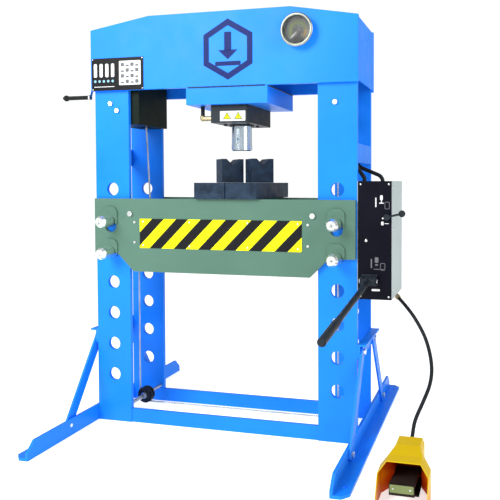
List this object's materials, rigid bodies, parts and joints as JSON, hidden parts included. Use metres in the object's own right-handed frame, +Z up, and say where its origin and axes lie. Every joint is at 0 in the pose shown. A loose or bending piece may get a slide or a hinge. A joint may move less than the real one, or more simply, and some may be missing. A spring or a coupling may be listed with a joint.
{
  "type": "hydraulic shop press",
  "caption": "H-frame hydraulic shop press with pinned table, lifting winch, V blocks, gauge, pump cabinet with hand lever and foot valve.",
  "frame": {"origin": "on the floor, midway between the columns and midway through the frame's depth: the centre of the floor anchor pattern", "axes": "+Z up, +X to the right seen from the operator's side, -Y towards the operator"},
  "size_m": [1.888, 1.5675, 1.942],
  "materials": {
    "bare_steel": "turned and ground steel",
    "black_steel": "black oxide and satin black paint",
    "brass": "turned brass",
    "cabinet_grey": "fine texture powder coat",
    "chromed": "polished hard chrome",
    "dial_face": "printed dial",
    "frame_blue": "smooth enamel, slightly glossy",
    "gauge_glass": "clear",
    "grip_plastic": "moulded",
    "hazard_paint": "satin enamel, diagonal yellow and black bands",
    "head_end_paint": "smooth enamel",
    "needle_white": "satin white",
    "panel_black": "satin black",
    "pedal_yellow": "satin enamel",
    "pin_steel": "turned steel",
    "rubber_black": "matt",
    "slate_steel": "machined and blued",
    "table_green": "satin enamel with rubbed edges",
    "tread_rubber": "ribbed",
    "winch_green": "satin enamel",
    "wire_rope": "stranded galvanised wire",
    "zinc_fastener": "zinc plated"
  },
  "bodies": {
    "root": {"base_beams": "frame_blue", "brace_brackets": "frame_blue", "cabinet_panel": "panel_black", "column_end_plates": "head_end_paint", "cylinder_barrel": "black_steel", "cylinder_clamp_block": "black_steel", "cylinder_mount_box": "frame_blue", "foot_braces": "frame_blue", "foot_guard": "pedal_yellow", "foot_hose": "rubber_black", "foot_valve_body": "black_steel", "frame_bolts": "zinc_fastener", "gauge_bezel": "chromed", "gauge_case": "chromed", "gauge_dial": "dial_face", "gauge_lens": "gauge_glass", "handle_bracket": "black_steel", "head_front_plate": "frame_blue", "head_rear_plate": "frame_blue", "hose_fittings": "brass", "left_foot": "frame_blue", "left_front_upright": "frame_blue", "left_rear_upright": "frame_blue", "levelling_rope": "wire_rope", "pressure_hoses": "rubber_black", "pulley_axles": "bare_steel", "pump_cabinet": "cabinet_grey", "pump_unit": "black_steel", "right_foot": "frame_blue", "right_front_upright": "frame_blue", "right_rear_upright": "frame_blue", "rod_gland": "brass", "winch_housing": "winch_green", "winch_rope": "wire_rope"},
    "table": {"table_front_plate": "table_green", "table_rear_plate": "table_green", "pin_saddles": "table_green", "table_cross_members": "table_green", "hazard_panel": "hazard_paint", "table_bolts": "zinc_fastener"},
    "winch_drum_body": {"winch_drum": "bare_steel"},
    "winch_crank_body": {"winch_crank": "bare_steel"},
    "winch_grip_body": {"winch_grip": "grip_plastic"},
    "lower_left_pulley_body": {"lower_left_pulley": "black_steel"},
    "lower_right_pulley_body": {"lower_right_pulley": "black_steel"},
    "upper_right_pulley_body": {"upper_right_pulley": "black_steel"},
    "ram_body": {"ram": "chromed", "ram_nose": "chromed"},
    "needle_body": {"gauge_needle": "needle_white"},
    "lower_left_pin_body": {"lower_left_pin": "pin_steel"},
    "lower_right_pin_body": {"lower_right_pin": "pin_steel"},
    "upper_left_pin_body": {"upper_left_pin": "pin_steel"},
    "upper_right_pin_body": {"upper_right_pin": "pin_steel"},
    "left_bar_body": {"left_bed_bar": "slate_steel"},
    "right_bar_body": {"right_bed_bar": "slate_steel"},
    "left_v_block_body": {"left_v_block": "slate_steel"},
    "right_v_block_body": {"right_v_block": "slate_steel"},
    "pump_handle_body": {"pump_handle": "black_steel"},
    "valve_lever_body": {"valve_lever": "black_steel"},
    "treadle_body": {"foot_treadle": "tread_rubber"}
  },
  "joints": [
    {"name": "table_lift", "type": "slide", "parent": "root", "child": "table", "axis": [0, 0, 1], "range_m": [0, 0.02], "deforming": ["winch_rope", "levelling_rope"]},
    {"name": "winch_drum_spin", "type": "hinge", "parent": "root", "child": "winch_drum_body", "pos_m": [-0.5, 0.036, 1.7], "axis": [1, 0, 0], "range_deg": [-32, 0]},
    {"name": "winch_crank_spin", "type": "hinge", "parent": "root", "child": "winch_crank_body", "pos_m": [-0.722, -0.04, 1.75865], "axis": [1, 0, 0], "range_deg": [0, 96]},
    {"name": "winch_grip_spin", "type": "hinge", "parent": "winch_crank_body", "child": "winch_grip_body", "pos_m": [-0.802, -0.1, 1.58265], "axis": [1, 0, 0], "continuous": true},
    {"name": "lower_left_pulley_spin", "type": "hinge", "parent": "root", "child": "lower_left_pulley_body", "pos_m": [-0.488, 0, 0.082], "axis": [0, 1, 0], "range_deg": [0, 34]},
    {"name": "lower_right_pulley_spin", "type": "hinge", "parent": "root", "child": "lower_right_pulley_body", "pos_m": [0.488, 0, 0.082], "axis": [0, 1, 0], "range_deg": [0, 34]},
    {"name": "upper_right_pulley_spin", "type": "hinge", "parent": "root", "child": "upper_right_pulley_body", "pos_m": [0.488, 0, 1.5], "axis": [0, 1, 0], "range_deg": [0, 34]},
    {"name": "ram_stroke", "type": "slide", "parent": "root", "child": "ram_body", "axis": [0, 0, -1], "range_m": [-0.09, 0.03]},
    {"name": "gauge_needle_turn", "type": "hinge", "parent": "root", "child": "needle_body", "pos_m": [0.39, -0.2, 1.829], "axis": [0, 1, 0], "range_deg": [0, 270], "stiffness_Nm_per_rad": 0.0002},
    {"name": "lower_left_pin_slide", "type": "slide", "parent": "root", "child": "lower_left_pin_body", "axis": [0, -1, 0], "range_m": [0, 0.44]},
    {"name": "lower_right_pin_slide", "type": "slide", "parent": "root", "child": "lower_right_pin_body", "axis": [0, -1, 0], "range_m": [0, 0.44]},
    {"name": "upper_left_pin_slide", "type": "slide", "parent": "root", "child": "upper_left_pin_body", "axis": [0, -1, 0], "range_m": [0, 0.44]},
    {"name": "upper_right_pin_slide", "type": "slide", "parent": "root", "child": "upper_right_pin_body", "axis": [0, -1, 0], "range_m": [0, 0.44]},
    {"name": "left_bar_slide", "type": "slide", "parent": "table", "child": "left_bar_body", "axis": [-1, 0, 0], "range_m": [0, 0.24]},
    {"name": "right_bar_slide", "type": "slide", "parent": "table", "child": "right_bar_body", "axis": [1, 0, 0], "range_m": [0, 0.18]},
    {"name": "left_v_block_slide", "type": "slide", "parent": "left_bar_body", "child": "left_v_block_body", "axis": [0, 1, 0], "range_m": [-0.15, 0.09]},
    {"name": "right_v_block_slide", "type": "slide", "parent": "right_bar_body", "child": "right_v_block_body", "axis": [0, 1, 0], "range_m": [-0.15, 0.09]},
    {"name": "pump_handle_swing", "type": "hinge", "parent": "root", "child": "pump_handle_body", "pos_m": [0.706, -0.19, 0.735], "axis": [1, 0, 0], "range_deg": [-50, 20]},
    {"name": "valve_lever_turn", "type": "hinge", "parent": "root", "child": "valve_lever_body", "pos_m": [0.785, -0.185, 1.013], "axis": [0, 1, 0], "range_deg": [-40, 40]},
    {"name": "foot_treadle_press", "type": "hinge", "parent": "root", "child": "treadle_body", "pos_m": [0.92, -0.428, 0.04], "axis": [1, 0, 0], "range_deg": [0, 9], "stiffness_Nm_per_rad": 6, "springref_deg": -20.05}
  ],
  "couplings": [
    {"joint": "winch_drum_spin", "follows": "table_lift", "rad_per_m": -27.778},
    {"joint": "winch_crank_spin", "follows": "table_lift", "rad_per_m": 83.333},
    {"joint": "lower_left_pulley_spin", "follows": "table_lift", "rad_per_m": 29.412},
    {"joint": "lower_right_pulley_spin", "follows": "table_lift", "rad_per_m": 29.412},
    {"joint": "upper_right_pulley_spin", "follows": "table_lift", "rad_per_m": 29.412}
  ]
}
